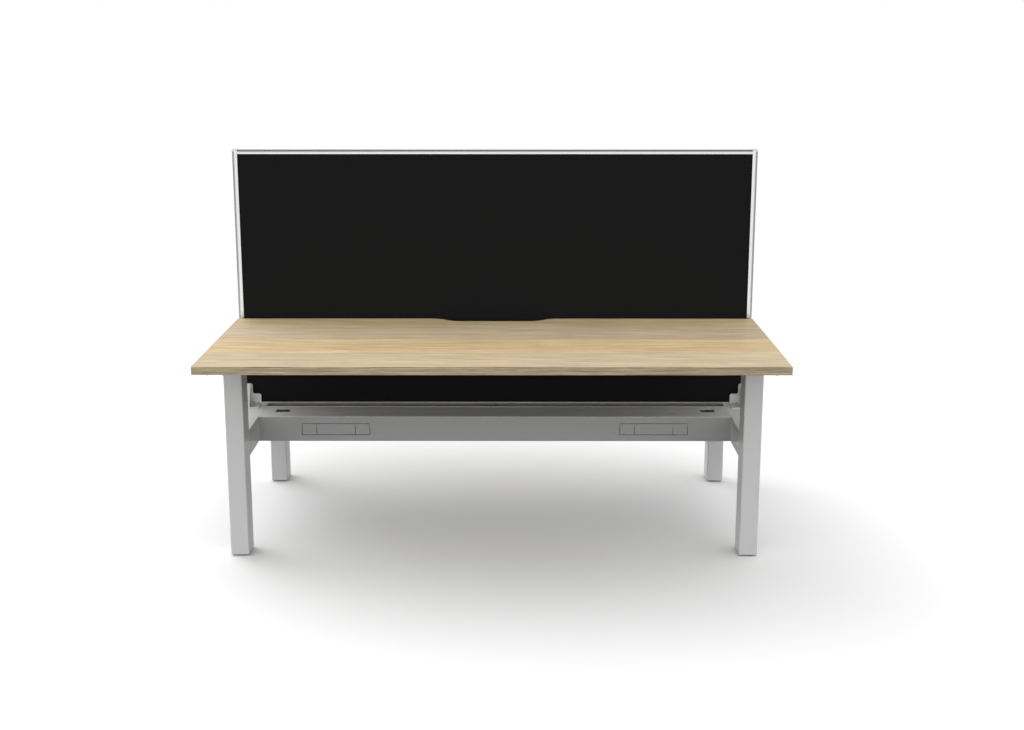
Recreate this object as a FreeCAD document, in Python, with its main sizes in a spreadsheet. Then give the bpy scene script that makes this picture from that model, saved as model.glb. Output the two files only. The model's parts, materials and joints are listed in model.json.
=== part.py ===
import FreeCAD, Part
import os
import re
import Sketcher

# Back-to-back workstation: two desktops on a four-legged steel frame, with a cable tray
# between them and a tall fabric screen standing in the tray.
# X runs along the desks, Y from the front desk to the rear desk, Z up from the floor.
# Most pieces are drawn once, in the rear right quarter, and mirrored into the other quarters.

SIZES = {
    # desktops
    "desk_width": 1800,
    "desk_depth": 750,
    "desk_thickness": 25,
    "desk_height": 720,
    "desk_screen_gap": 10,
    "edge_band": 1,
    "scallop_reach": 222,
    "scallop_flat": 116,
    "scallop_depth": 46,
    "scallop_round_share": 0.96,
    # legs and feet
    "leg_wide": 60,
    "leg_deep": 91,
    "leg_wall": 2.5,
    "leg_corner": 4,
    "leg_inset": 27,
    "leg_cap": 8,
    "rail_reach": 361,
    "foot_rise": 6,
    "foot_clearance": 0.3,
    "foot_radius": 22,
    "foot_edge": 1.5,
    "stud_radius": 5,
    "stud_rise": 34,
    "insert_height": 25,
    "thread_clearance": 0.05,
    "seat_clearance": 0.1,
    # support arms and crossbeams
    "arm_wide": 50,
    "arm_deep": 45,
    "arm_wall": 2.5,
    "arm_tip_deep": 17,
    "arm_front_margin": 64,
    "arm_back_margin": 40,
    "arm_seat_margin": 24,
    "beam_deep": 50,
    "beam_tall": 32,
    "beam_wall": 2,
    "beam_drop": 6,
    "beam_plate": 4,
    "beam_plate_margin": 16,
    # end rails and their covers
    "rail_top": 408,
    "rail_tall": 87.5,
    "rail_wall": 2.5,
    "fold_radius": 2.2,
    "rail_end_plate": 4,
    "cover_inner_margin": 5,
    "cover_outer_margin": 12,
    "cover_low_margin": 5.5,
    "cover_high_margin": 13.5,
    "cover_seam": 0.3,
    "slot_tall": 3,
    "slot_inner_margin": 33,
    "slot_outer_margin": 2,
    "end_seam": 2,
    "relief_radius": 2.5,
    "cover_screw_reach": 89,
    "cover_screw_drop": 23,
    "cover_tab_wide": 16,
    "saddle_clearance": 0.6,
    "base_slit": 2,
    "base_slit_length": 8,
    # cable tray
    "tray_half_depth": 185,
    "tray_sheet": 2,
    "tray_end_plate": 3,
    "knockout_reach": 383,
    "knockout_square": 50,
    "knockout_outlet": 133,
    "knockout_rise": 20,
    "knockout_tall": 40,
    "knockout_line": 1.8,
    "knockout_tab": 4,
    "spine_half_depth": 12,
    "spine_sheet": 2,
    "spine_flange": 9,
    "spine_end_margin": 16,
    # tray lids
    "lid_sheet": 2,
    "lid_edge_round": 1.2,
    "lid_seat_gap": 0.3,
    "lid_end_gap": 0.5,
    "lid_flange_drop": 10,
    "lid_flange_gap": 1,
    "curl_radius": 8.5,
    "curl_proud": 1,
    "screen_gap": 24,
    "hinge_rod_radius": 6,
    "hinge_clearance": 0.06,
    "hinge_support_share": 0.492,
    "hinge_support_wide": 4,
    "hinge_support_neck": 4,
    "hinge_support_foot": 30,
    "hinge_support_play": 2,
    "curl_notch_rise": 5.5,
    "cable_hole_margin_x": 47,
    "cable_hole_wide": 48.5,
    "cable_hole_margin_y": 42,
    "cable_hole_deep": 44,
    # screen
    "screen_height": 903,
    "screen_sink": 6,
    "screen_thickness": 28,
    "frame_wide": 18,
    "top_rail_tall": 14,
    "bottom_rail_tall": 14.6,
    "bottom_rail_round": 2,
    "frame_round": 9,
    "groove_deep": 7,
    "frame_wall": 1.8,
    "core_thickness": 21,
    "core_clearance": 0.3,
    "fabric_thickness": 1.5,
    "cap_tall": 5.5,
    "cap_proud": 1,
    "cap_round": 1.5,
    "cap_tongue": 25,
    # brackets that hold the screen's ends on the rails
    "bracket_sheet": 2.5,
    "bracket_wide": 41,
    "bracket_web_margin": 7,
    "bracket_overhang": 6,
    "bracket_step_wide": 12,
    "bracket_low_rise": 39,
    "bracket_high_rise": 76,
    "bracket_round": 7,
    "bracket_foot_deep": 58,
    "bracket_top_deep": 10,
    "base_screw_near_share": 0.35,
    "base_screw_far_share": 0.65,
    "face_screw_near_share": 0.28,
    "face_screw_far_share": 0.72,
    "bracket_hole_radius": 2.2,
    "bracket_hole_rise": 24,
    "bracket_hole_margin": 3,
    # fasteners
    "bolt_radius": 4,
    "bolt_head_radius": 6.5,
    "bolt_head": 5,
    "bolt_clearance": 0.1,
    "nut_plate": 8,
    "nut": 6.5,
    "rail_bolt_spread_x": 15,
    "rail_bolt_margin_z": 18,
    "leg_bolt_spread_x": 16,
    "leg_bolt_spread_y": 28,
    "beam_bolt_spread": 33,
    "tray_bolt_margin_y": 85,
    "tray_bolt_margin_z": 22,
    "screw_radius": 2.4,
    "screw_head_radius": 5,
    "screw_head": 3,
    "desk_screw_length": 15,
    "small_screw_radius": 2,
    "small_head_radius": 3.2,
    "small_head": 1.6,
    # all cutting tools run past the face they cut by this much
    "overrun": 5,
}

# positions along the desk that several pieces share
LEG_OUT = "(desk_width / 2 - leg_inset)"
LEG_IN = f"({LEG_OUT} - leg_wide)"
LEG_MID = f"({LEG_OUT} - leg_wide / 2)"
# positions across the desk
SCREEN_FACE = "(screen_thickness / 2)"
DESK_BACK = f"({SCREEN_FACE} + desk_screen_gap)"
DESK_FRONT = f"({DESK_BACK} + desk_depth)"
LEG_NEAR = "rail_reach"
LEG_FAR = "(rail_reach + leg_deep)"
LEG_CENTRE = "(rail_reach + leg_deep / 2)"
LID_BACK = f"({SCREEN_FACE} + screen_gap)"
HINGE_Y = f"({LID_BACK} + curl_radius)"
# heights
DESK_UNDER = "(desk_height - desk_thickness)"
LEG_TOP = f"({DESK_UNDER} - arm_deep)"
RAIL_LOW = "(rail_top - rail_tall)"
LID_UNDER = "(rail_top - lid_sheet)"
TRAY_FLOOR = f"({RAIL_LOW} + tray_sheet)"
TRAY_WALL_TOP = f"({LID_UNDER} - lid_seat_gap)"
HINGE_Z = "(rail_top + curl_proud - curl_radius)"
SCREEN_LOW = "(rail_top - screen_sink)"
SCREEN_TOP = f"({SCREEN_LOW} + screen_height)"

AXES = {"X": FreeCAD.Vector(1, 0, 0), "Y": FreeCAD.Vector(0, 1, 0), "Z": FreeCAD.Vector(0, 0, 1)}
CLOSE = 1e-4

doc = FreeCAD.newDocument("workstation")
sheet = doc.addObject("Spreadsheet::Sheet", "sizes")
for row, (alias, number) in enumerate(SIZES.items(), start=1):
    sheet.set(f"A{row}", alias)
    sheet.set(f"B{row}", str(number))
    sheet.setAlias(f"B{row}", alias)
doc.recompute()

pieces = []


def bound(text):
    """The expression with each size's name pointing at its cell of the sheet."""
    return re.sub(r"[a-z_]+", lambda word: "sizes." + word[0] if word[0] in SIZES else word[0], text)


def bind(thing, field, text):
    thing.setExpression(field, bound(text))


def box(label, x, y, z):
    """A block between two expressions on each axis."""
    block = doc.addObject("Part::Box", label)
    for letter, side, (low, high) in zip("xyz", ("Length", "Width", "Height"), (x, y, z)):
        bind(block, side, f"({high}) - ({low})")
        bind(block, f"Placement.Base.{letter}", low)
    return block


TURNS = {
    "X": FreeCAD.Rotation(AXES["Y"], 90),
    "Y": FreeCAD.Rotation(AXES["X"], -90),
    "Z": FreeCAD.Rotation(),
}


def rod(label, axis, centre, radius, low, high):
    """A cylinder along an axis; centre holds the other two coordinates in X, Y, Z order."""
    cylinder = doc.addObject("Part::Cylinder", label)
    bind(cylinder, "Radius", radius)
    bind(cylinder, "Height", f"({high}) - ({low})")
    cylinder.Placement = FreeCAD.Placement(FreeCAD.Vector(), TURNS[axis])
    places = list(centre)
    places.insert("XYZ".index(axis), low)
    for letter, place in zip("xyz", places):
        bind(cylinder, f"Placement.Base.{letter}", place)
    return cylinder


def join(label, parts):
    whole = doc.addObject("Part::MultiFuse", label)
    whole.Shapes = parts
    whole.Refine = True
    return whole


def cut(label, base, tools):
    result = doc.addObject("Part::Cut", label)
    result.Base = base
    result.Tool = tools[0] if len(tools) == 1 else join(label + "_tools", tools)
    return result


def group(label, parts):
    """Identical separate solids that share one node."""
    together = doc.addObject("Part::Compound", label)
    together.Links = parts
    return together


def mirror(label, source, axis):
    image = doc.addObject("Part::Mirroring", label)
    image.Source = source
    image.Normal = AXES[axis]
    return image


def keep(piece, label):
    piece.Label = label
    pieces.append(piece)
    return piece


def mirrored_four(source, stem):
    """The rear right object and its three images, in no particular node."""
    left = mirror(stem + "_left_image", source, "X")
    front = mirror(stem + "_front_image", source, "Y")
    far = mirror(stem + "_far_image", left, "Y")
    return [source, left, front, far]


def keep_four(source, stem):
    names = ("rear_right", "rear_left", "front_right", "front_left")
    for piece, name in zip(mirrored_four(source, stem), names):
        keep(piece, f"{stem}_{name}")


def keep_left_right(source, stem):
    keep(source, stem + "_right")
    keep(mirror(stem + "_image", source, "X"), stem + "_left")


def keep_front_rear(source, stem):
    keep(source, stem + "_rear")
    keep(mirror(stem + "_image", source, "Y"), stem + "_front")


def outline(body, label, plane, corners, offset="0"):
    """A sketch with both coordinates of each corner bound to expressions."""
    support = next(item for item in body.Origin.OriginFeatures if item.Role == plane + "_Plane")
    sketch = body.newObject("Sketcher::SketchObject", label + "_outline")
    sketch.AttachmentSupport = [(support, "")]
    sketch.MapMode = "FlatFace"
    bind(sketch, "AttachmentOffset.Base.z", offset)
    # the corners start on a ring, and the expressions then move them to their places
    count = len(corners)
    ring = [AXES["X"]]
    step = FreeCAD.Rotation(AXES["Z"], 360 / count)
    for _ in range(count - 1):
        ring.append(step.multVec(ring[-1]))
    for corner in range(count):
        sketch.addGeometry(Part.LineSegment(ring[corner], ring[(corner + 1) % count]))
    for corner in range(count):
        sketch.addConstraint(Sketcher.Constraint("Coincident", corner, 2, (corner + 1) % count, 1))
    for corner, (across, up) in enumerate(corners):
        start = ring[corner]
        for kind, place, guess in (("DistanceX", across, start.x), ("DistanceY", up, start.y)):
            number = sketch.addConstraint(Sketcher.Constraint(kind, -1, 1, corner, 1, guess))
            bind(sketch, f"Constraints[{number}]", place)
    return sketch


def extruded(label, plane, corners, low, high, rounded=()):
    """A body padded from an outline of corners between two places along the plane's normal.

    rounded holds pairs of corner numbers and the radius that rounds them.
    """
    body = doc.addObject("PartDesign::Body", label + "_body")
    # the outline of an XZ plane faces the front, so it is measured the other way
    sketch = outline(body, label, plane, corners, f"-({high})" if plane == "XZ" else low)
    pad = body.newObject("PartDesign::Pad", label + "_pad")
    pad.Profile = sketch
    bind(pad, "Length", f"({high}) - ({low})")
    doc.recompute()
    normal = sketch.Placement.Rotation.multVec(AXES["Z"])
    places = [sketch.Placement.multVec(line.StartPoint) for line in sketch.Geometry]
    feature = pad
    for numbers, radius in rounded:
        edges = []
        for index, edge in enumerate(feature.Shape.Edges, start=1):
            along = edge.Curve.Direction if isinstance(edge.Curve, Part.Line) else None
            if along is None or along.cross(normal).Length > CLOSE:
                continue
            for number in numbers:
                if (edge.CenterOfMass - places[number]).cross(normal).Length < CLOSE:
                    edges.append(f"Edge{index}")
        fillet = body.newObject("PartDesign::Fillet", label + "_round")
        fillet.Base = (feature, edges)
        bind(fillet, "Radius", radius)
        doc.recompute()
        feature = fillet
    return body


def build_desktops():
    """Laminated boards with a scallop for cables in the back edge, and their edge bands."""
    span = "(scallop_reach - scallop_flat)"
    lean = f"(({span} * {span} + scallop_depth * scallop_depth) / 4)"
    shoulder = f"(scallop_reach - {lean} / {span})"
    foot = f"(scallop_flat + {lean} / {span})"
    inner = f"({DESK_BACK} + scallop_depth)"
    corners = [
        ("-desk_width / 2", DESK_BACK),
        (f"-{shoulder}", DESK_BACK),
        (f"-{foot}", inner),
        (foot, inner),
        (shoulder, DESK_BACK),
        ("desk_width / 2", DESK_BACK),
        ("desk_width / 2", DESK_FRONT),
        ("-desk_width / 2", DESK_FRONT),
    ]
    blank = extruded(
        "desk_blank", "XY", corners, DESK_UNDER, "desk_height",
        rounded=[((1, 2, 3, 4), f"scallop_round_share * {lean} / scallop_depth")],
    )
    band = doc.addObject("Part::Thickness", "edge_band_ring")
    faces = []
    for index, face in enumerate(blank.Shape.Faces, start=1):
        if isinstance(face.Surface, Part.Plane) and abs(face.normalAt(0, 0).z) > 1 - CLOSE:
            faces.append(f"Face{index}")
    band.Faces = (blank, faces)
    bind(band, "Value", "-edge_band")
    band.Join = "Intersection"
    keep_front_rear(band, "edge_band")
    pilots = []
    for number, place in enumerate(DESK_SCREW_PLACES):
        pilot = rod(
            f"pilot_{number}", "Z", (LEG_MID, place), "screw_radius + bolt_clearance",
            f"{DESK_UNDER} - overrun", f"{DESK_UNDER} + desk_screw_length + bolt_clearance",
        )
        pilots += [pilot, mirror(f"pilot_image_{number}", pilot, "X")]
    keep_front_rear(cut("desk_board", blank, [band] + pilots), "desktop")


ARM_FRONT = f"({DESK_FRONT} - arm_front_margin)"
ARM_BACK = f"({DESK_BACK} + arm_back_margin)"
DESK_SCREW_PLACES = [
    f"({ARM_BACK} + arm_deep)",
    f"(({ARM_BACK} + {LEG_NEAR}) / 2)",
    f"(({ARM_FRONT} + {LEG_FAR}) / 2)",
    f"({ARM_FRONT} - arm_deep / 2)",
]


def corner_places(x, x_spread, y, y_spread):
    """The four places at a spread about a centre."""
    places = []
    for x_sign in "-+":
        for y_sign in "-+":
            places.append((f"({x} {x_sign} {x_spread})", f"({y} {y_sign} {y_spread})"))
    return places


LEG_BOLTS = corner_places(LEG_MID, "leg_bolt_spread_x", LEG_CENTRE, "leg_bolt_spread_y")
RAIL_BOLTS = corner_places(
    LEG_MID, "rail_bolt_spread_x",
    "(rail_top - rail_tall / 2)", "(rail_tall / 2 - rail_bolt_margin_z)",
)


def holes(label, axis, places, radius, low, high):
    """One cylinder at each place, where a place holds the two coordinates across the axis."""
    return [rod(f"{label}_{n}", axis, place, radius, low, high) for n, place in enumerate(places)]


def build_legs():
    """Rectangular tubes closed by a tapped cap plate at the top."""
    corners = [(LEG_IN, LEG_NEAR), (LEG_OUT, LEG_NEAR), (LEG_OUT, LEG_FAR), (LEG_IN, LEG_FAR)]
    outside = extruded(
        "leg_outside", "XY", corners, "foot_rise", LEG_TOP, [((0, 1, 2, 3), "leg_corner")],
    )
    corners = [
        (f"{LEG_IN} + leg_wall", f"{LEG_NEAR} + leg_wall"),
        (f"{LEG_OUT} - leg_wall", f"{LEG_NEAR} + leg_wall"),
        (f"{LEG_OUT} - leg_wall", f"{LEG_FAR} - leg_wall"),
        (f"{LEG_IN} + leg_wall", f"{LEG_FAR} - leg_wall"),
    ]
    inside = extruded(
        "leg_inside", "XY", corners, "foot_rise - overrun", f"{LEG_TOP} - leg_cap",
        [((0, 1, 2, 3), "leg_corner - leg_wall")],
    )
    tools = [inside]
    tools += holes(
        "leg_tapping", "Z", LEG_BOLTS, "bolt_radius + bolt_clearance",
        f"{LEG_TOP} - leg_cap - overrun", f"{LEG_TOP} + overrun",
    )
    tools += holes(
        "leg_side_hole", "Y", RAIL_BOLTS, "bolt_radius + bolt_clearance",
        f"{LEG_NEAR} - overrun", f"{LEG_NEAR} + leg_wall + overrun",
    )
    keep_four(cut("leg_tube", outside, tools), "leg")


def build_feet():
    """Plastic inserts in the leg ends, and the levelling feet screwed into them."""
    gap = "(leg_wall + seat_clearance)"
    corners = [
        (f"{LEG_IN} + {gap}", f"{LEG_NEAR} + {gap}"),
        (f"{LEG_OUT} - {gap}", f"{LEG_NEAR} + {gap}"),
        (f"{LEG_OUT} - {gap}", f"{LEG_FAR} - {gap}"),
        (f"{LEG_IN} + {gap}", f"{LEG_FAR} - {gap}"),
    ]
    block = extruded(
        "insert_block", "XY", corners, "foot_rise", "foot_rise + insert_height",
        [((0, 1, 2, 3), "leg_corner - leg_wall")],
    )
    bore = rod(
        "insert_bore", "Z", (LEG_MID, LEG_CENTRE), "stud_radius + thread_clearance",
        "foot_rise - overrun", "foot_rise + insert_height + overrun",
    )
    keep_four(cut("insert", block, [bore]), "foot_insert")

    body = doc.addObject("PartDesign::Body", "foot_body")
    bind(body, "Placement.Base.x", LEG_MID)
    bind(body, "Placement.Base.y", LEG_CENTRE)
    top = "(foot_rise - foot_clearance)"
    corners = [
        ("0", "0"),
        ("foot_radius - foot_edge", "0"),
        ("foot_radius", "foot_edge"),
        ("foot_radius", f"{top} - foot_edge"),
        ("foot_radius - foot_edge", top),
        ("stud_radius", top),
        ("stud_radius", "stud_rise - foot_edge"),
        ("stud_radius - foot_edge", "stud_rise"),
        ("0", "stud_rise"),
    ]
    sketch = outline(body, "foot", "XZ", corners)
    turned = body.newObject("PartDesign::Revolution", "foot_turned")
    turned.Profile = sketch
    turned.ReferenceAxis = (sketch, ["V_Axis"])
    keep_four(body, "levelling_foot")


def build_arms():
    """Folded channels that carry the desktops on the legs."""
    low_in = f"({LEG_NEAR} - arm_seat_margin)"
    low_out = f"({LEG_FAR} + arm_seat_margin)"
    tip = f"({DESK_UNDER} - arm_tip_deep)"
    corners = [
        (ARM_BACK, tip),
        (low_in, LEG_TOP),
        (low_out, LEG_TOP),
        (ARM_FRONT, tip),
        (ARM_FRONT, DESK_UNDER),
        (ARM_BACK, DESK_UNDER),
    ]
    left = f"({LEG_MID} - arm_wide / 2)"
    right = f"({LEG_MID} + arm_wide / 2)"
    outside = extruded("arm_outside", "YZ", corners, left, right)
    below = f"({LEG_TOP} - overrun)"
    floor = f"({LEG_TOP} + arm_wall)"
    corners = [
        (f"{ARM_BACK} - overrun", below),
        (low_in, below),
        (low_in, floor),
        (low_out, floor),
        (low_out, below),
        (f"{ARM_FRONT} + overrun", below),
        (f"{ARM_FRONT} + overrun", f"{DESK_UNDER} - arm_wall"),
        (f"{ARM_BACK} - overrun", f"{DESK_UNDER} - arm_wall"),
    ]
    inside = extruded("arm_inside", "YZ", corners, f"{left} + arm_wall", f"{right} - arm_wall")
    tools = [inside]
    tools += holes(
        "arm_bolt_hole", "Z", LEG_BOLTS, "bolt_radius + bolt_clearance",
        f"{LEG_TOP} - overrun", f"{floor} + overrun",
    )
    tools += holes(
        "arm_screw_hole", "Z", [(LEG_MID, place) for place in DESK_SCREW_PLACES],
        "screw_radius + bolt_clearance", f"{DESK_UNDER} - arm_wall - overrun", f"{DESK_UNDER} + overrun",
    )
    tools += holes(
        "arm_beam_hole", "X", BEAM_BOLTS, "bolt_radius + bolt_clearance",
        f"{left} - overrun", f"{left} + arm_wall + overrun",
    )
    keep_four(cut("arm", outside, tools), "support_arm")


BEAM_TOP = f"({DESK_UNDER} - beam_drop)"
BEAM_MID = f"({BEAM_TOP} - beam_tall / 2)"
BEAM_BOLTS = [
    (f"({LEG_CENTRE} - beam_bolt_spread)", BEAM_MID),
    (f"({LEG_CENTRE} + beam_bolt_spread)", BEAM_MID),
]


def build_beams():
    """Crossbeams between the arms: a tube with a plate welded on each end."""
    arm_face = f"({LEG_MID} - arm_wide / 2)"
    plate_face = f"({arm_face} - beam_plate)"
    y = (f"{LEG_CENTRE} - beam_deep / 2", f"{LEG_CENTRE} + beam_deep / 2")
    z = (f"{BEAM_TOP} - beam_tall", BEAM_TOP)
    tube = box("beam_tube", (f"-{plate_face}", plate_face), y, z)
    bore = box(
        "beam_bore",
        (f"-{plate_face} - overrun", f"{plate_face} + overrun"),
        (f"{y[0]} + beam_wall", f"{y[1]} - beam_wall"),
        (f"{z[0]} + beam_wall", f"{z[1]} - beam_wall"),
    )
    plate = box(
        "beam_end_plate", (plate_face, arm_face),
        (f"{y[0]} - beam_plate_margin", f"{y[1]} + beam_plate_margin"), z,
    )
    drilled = cut(
        "beam_drilled_plate", plate,
        holes(
            "beam_plate_hole", "X", BEAM_BOLTS, "bolt_radius + bolt_clearance",
            f"{plate_face} - overrun", f"{arm_face} + overrun",
        ),
    )
    hollow = cut("beam_hollow", tube, [bore])
    beam = join("beam", [hollow, drilled, mirror("beam_plate_image", drilled, "X")])
    keep_front_rear(beam, "crossbeam")


COVER_Y = ("(tray_half_depth + cover_inner_margin)", f"({LEG_NEAR} - cover_outer_margin)")
COVER_Z = (f"({RAIL_LOW} + cover_low_margin)", "(rail_top - cover_high_margin)")
COVER_SCREW = (f"({LEG_NEAR} - cover_screw_reach)", "(rail_top - cover_screw_drop)")
BRACKET_IN = f"({LEG_OUT} - bracket_wide)"
BRACKET_WEB = f"({LEG_OUT} - bracket_web_margin)"
BRACKET_FOOT = f"({SCREEN_FACE} + bracket_foot_deep)"


def build_rails():
    """Folded end rails between the legs, with a lip over the tray's end and covers inside."""
    z = (RAIL_LOW, "rail_top")
    corners = [(LEG_IN, z[0]), (LEG_OUT, z[0]), (LEG_OUT, z[1]), (LEG_IN, z[1])]
    outside = extruded(
        "rail_outside", "XZ", corners, f"-{LEG_NEAR}", LEG_NEAR, [((0, 1, 2, 3), "fold_radius")],
    )
    lip = box(
        "rail_lip", (TRAY_END, f"{LEG_IN} + 2 * fold_radius"), ("-tray_half_depth", "tray_half_depth"),
        (TRAY_WALL_TOP, "rail_top"),
    )
    inside = box(
        "rail_inside",
        (f"{LEG_IN} + rail_wall", f"{LEG_OUT} - rail_wall"),
        (f"-({LEG_NEAR} - rail_end_plate)", f"{LEG_NEAR} - rail_end_plate"),
        (f"{z[0]} + rail_wall", f"{z[1]} - rail_wall"),
    )
    wall = (f"{LEG_IN} - overrun", f"{LEG_IN} + rail_wall + overrun")
    # the opening is wider than the cover by a seam, and above the cover it leaves a slot
    opening = box(
        "rail_opening", wall,
        (f"{COVER_Y[0]} - cover_seam", f"{COVER_Y[1]} + end_seam"),
        (f"{COVER_Z[0]} - cover_seam", f"{COVER_Z[1]} + cover_seam"),
    )
    slot = box(
        "rail_slot", wall, ("tray_half_depth + slot_inner_margin", f"{LEG_NEAR} - slot_outer_margin"),
        (COVER_Z[1], f"{COVER_Z[1]} + slot_tall"),
    )
    seam_end = (f"({COVER_Y[1]} + end_seam / 2)", COVER_Z[0])
    relief = rod("rail_relief", "X", seam_end, "relief_radius", *wall)
    half = [opening, slot, relief]
    half += holes(
        "rail_end_hole", "Y", RAIL_BOLTS, "bolt_radius + bolt_clearance",
        f"{LEG_NEAR} - rail_end_plate - overrun", f"{LEG_NEAR} + overrun",
    )
    half += holes("rail_tray_hole", "X", TRAY_BOLTS, "bolt_radius + bolt_clearance", *wall)
    half += holes(
        "rail_bracket_hole", "Z", BRACKET_BASE_SCREWS, "small_screw_radius + bolt_clearance",
        "rail_top - rail_wall - overrun", "rail_top + overrun",
    )
    half.append(rod(
        "rail_lip_hole", "X", (HINGE_Y, HINGE_Z), "hinge_rod_radius + hinge_clearance",
        f"{TRAY_END} - overrun", LEG_IN,
    ))
    half.append(box(
        "rail_base_slit",
        (f"{BRACKET_IN} - base_slit / 2", f"{BRACKET_IN} + base_slit / 2"),
        (f"{SCREEN_FACE} + saddle_clearance", f"{BRACKET_FOOT} + base_slit_length"),
        ("rail_top - rail_wall - overrun", "rail_top + overrun"),
    ))
    half_tools = join("rail_half_tools", half)
    saddle = box(
        "rail_saddle", (f"{LEG_IN} - overrun", f"{LEG_OUT} + overrun"),
        (f"-{SCREEN_FACE} - saddle_clearance", f"{SCREEN_FACE} + saddle_clearance"),
        (SCREEN_LOW, "rail_top + overrun"),
    )
    shell = cut(
        "rail_shell", join("rail_with_lip", [outside, lip]),
        [inside, half_tools, mirror("rail_half_tools_image", half_tools, "Y"), saddle],
    )
    # a tab behind the upper lip takes each cover's screw
    tab_x = (f"{LEG_IN} + rail_wall", f"{LEG_IN} + 2 * rail_wall")
    tab = box(
        "rail_tab", tab_x,
        (f"{COVER_SCREW[0]} - cover_tab_wide / 2", f"{COVER_SCREW[0]} + cover_tab_wide / 2"),
        (f"{COVER_SCREW[1]} - cover_tab_wide / 2", "rail_top - rail_wall"),
    )
    tapped = cut("rail_tapped_tab", tab, [rod(
        "rail_tab_hole", "X", COVER_SCREW, "small_screw_radius + bolt_clearance",
        f"{tab_x[0]} - overrun", f"{tab_x[1]} + overrun",
    )])
    rail = join("rail", [shell, tapped, mirror("rail_tab_image", tapped, "Y")])
    keep_left_right(rail, "end_rail")

    plate = box("cover_plate", (LEG_IN, f"{LEG_IN} + rail_wall"), COVER_Y, COVER_Z)
    cover = cut("cover", plate, [rod(
        "cover_hole", "X", COVER_SCREW, "small_screw_radius + bolt_clearance",
        f"{LEG_IN} - overrun", f"{LEG_IN} + rail_wall + overrun",
    )])
    keep_four(cover, "rail_cover")


TRAY_BOLTS = [
    ("(tray_half_depth - tray_bolt_margin_y)", f"({TRAY_FLOOR} + tray_bolt_margin_z)"),
    ("(tray_half_depth - tray_bolt_margin_y)", "(rail_top - tray_bolt_margin_z)"),
]
BRACKET_BASE_SCREWS = [
    (f"(({BRACKET_IN} + {BRACKET_WEB}) / 2)", f"({SCREEN_FACE} + {share} * {BRACKET_FOOT})")
    for share in ("base_screw_near_share", "base_screw_far_share")
]
TRAY_END = f"({LEG_IN} - tray_end_plate)"


def build_tray():
    """The welded trough, with knock-outs in both long walls for sockets."""
    y = ("-tray_half_depth", "tray_half_depth")
    corners = [(y[0], RAIL_LOW), (y[1], RAIL_LOW), (y[1], TRAY_WALL_TOP), (y[0], TRAY_WALL_TOP)]
    outside = extruded("tray_outside", "YZ", corners, f"-{LEG_IN}", LEG_IN, [((0, 1), "fold_radius")])
    inside = box(
        "tray_inside", (f"-{TRAY_END}", TRAY_END),
        (f"{y[0]} + tray_sheet", f"{y[1]} - tray_sheet"),
        (TRAY_FLOOR, f"{TRAY_WALL_TOP} + overrun"),
    )
    wall = ("tray_half_depth - tray_sheet - overrun", "tray_half_depth + overrun")
    tools = []
    lines = [f"{LEG_IN} - knockout_reach"]
    for step in ("knockout_square", "knockout_outlet", "knockout_square"):
        lines.append(f"{lines[-1]} + {step}")
    line_z = (f"({TRAY_FLOOR} + knockout_rise)", f"({TRAY_FLOOR} + knockout_rise + knockout_tall)")
    for number, place in enumerate(lines):
        tools.append(box(
            f"knockout_side_{number}", (place, f"{place} + knockout_line"), wall,
            (line_z[0], f"{line_z[1]} + knockout_line"),
        ))
    for number, (start, end) in enumerate(zip(lines, lines[1:])):
        middle = f"({start} + {end} + knockout_line) / 2"
        for level, height in enumerate(line_z):
            tools.append(box(
                f"knockout_line_{number}_{level}_a", (start, f"{middle} - knockout_tab / 2"), wall,
                (height, f"{height} + knockout_line"),
            ))
            tools.append(box(
                f"knockout_line_{number}_{level}_b",
                (f"{middle} + knockout_tab / 2", f"{end} + knockout_line"), wall,
                (height, f"{height} + knockout_line"),
            ))
    tools += holes(
        "tray_end_hole", "X", TRAY_BOLTS, "bolt_radius + bolt_clearance",
        f"{TRAY_END} - overrun", f"{LEG_IN} + overrun",
    )
    tools.append(rod(
        "tray_rod_hole", "X", (HINGE_Y, HINGE_Z), "hinge_rod_radius + hinge_clearance",
        f"{TRAY_END} - overrun", f"{LEG_IN} + overrun",
    ))
    quarter = join("tray_quarter_tools", tools)
    saddle = box(
        "tray_saddle", (f"-{LEG_IN} - overrun", f"{LEG_IN} + overrun"),
        (f"-{SCREEN_FACE} - saddle_clearance", f"{SCREEN_FACE} + saddle_clearance"),
        (SCREEN_LOW, "rail_top + overrun"),
    )
    trough = cut("tray", outside, [inside, saddle] + mirrored_four(quarter, "tray_tools"))
    keep(trough, "cable_tray")

    end = f"({TRAY_END} - spine_end_margin)"
    spine_out = box(
        "spine_outside", (f"-{end}", end), ("-spine_half_depth", "spine_half_depth"),
        (TRAY_FLOOR, SCREEN_LOW),
    )
    spine_in = box(
        "spine_inside", (f"-{end} - overrun", f"{end} + overrun"),
        ("-(spine_half_depth - spine_sheet)", "spine_half_depth - spine_sheet"),
        (f"{TRAY_FLOOR} - overrun", f"{SCREEN_LOW} - spine_sheet"),
    )
    hat = cut("spine_hat", spine_out, [spine_in])
    flange = box(
        "spine_flange_rear", (f"-{end}", end), ("spine_half_depth", "spine_half_depth + spine_flange"),
        (TRAY_FLOOR, f"{TRAY_FLOOR} + spine_sheet"),
    )
    keep(join("spine", [hat, flange, mirror("spine_flange_front", flange, "Y")]), "tray_spine")


SUPPORT_PLACES = [f"-hinge_support_share * {LEG_IN}", "0", f"hinge_support_share * {LEG_IN}"]


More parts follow.
